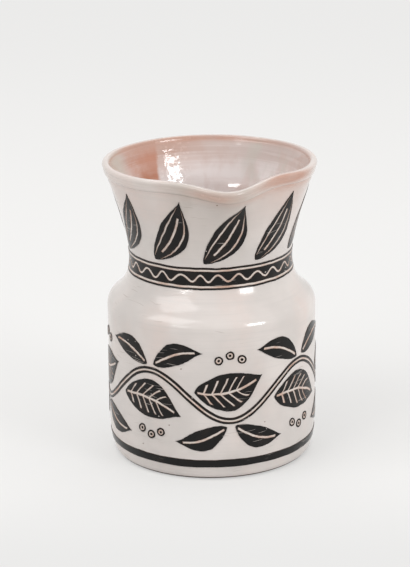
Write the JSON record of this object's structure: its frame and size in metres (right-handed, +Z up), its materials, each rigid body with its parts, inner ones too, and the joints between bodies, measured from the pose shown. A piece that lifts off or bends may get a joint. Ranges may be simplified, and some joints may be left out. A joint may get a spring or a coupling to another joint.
{
  "type": "ceramic pitcher",
  "caption": "White-glazed thrown pitcher with a straight body, drawn-in waist, flaring neck, pouring lip, strap handle and brushed black slip ornament.",
  "frame": {"origin": "centre of the foot, on the surface that the jug stands on", "axes": "+Z up along the wheel's axis, the pouring lip towards -Y, the handle towards +Y"},
  "size_m": [0.1524, 0.1997, 0.2158],
  "materials": {
    "white_glaze": "glossy",
    "black_slip": "glossy",
    "bare_clay": "matte"
  },
  "bodies": {
    "root": {"foot_ring": "bare_clay", "floor": "white_glaze", "body_wall": "white_glaze", "shoulder": "white_glaze", "neck": "white_glaze", "rim": "white_glaze", "handle": "white_glaze", "handle_top_luting": "white_glaze", "handle_foot_luting": "white_glaze", "heel_band": "black_slip", "vine_stem": "black_slip", "vine_leaves": "black_slip", "vine_side_leaves": "black_slip", "vine_berries": "black_slip", "waist_band": "black_slip", "neck_leaves": "black_slip"}
  },
  "joints": []
}
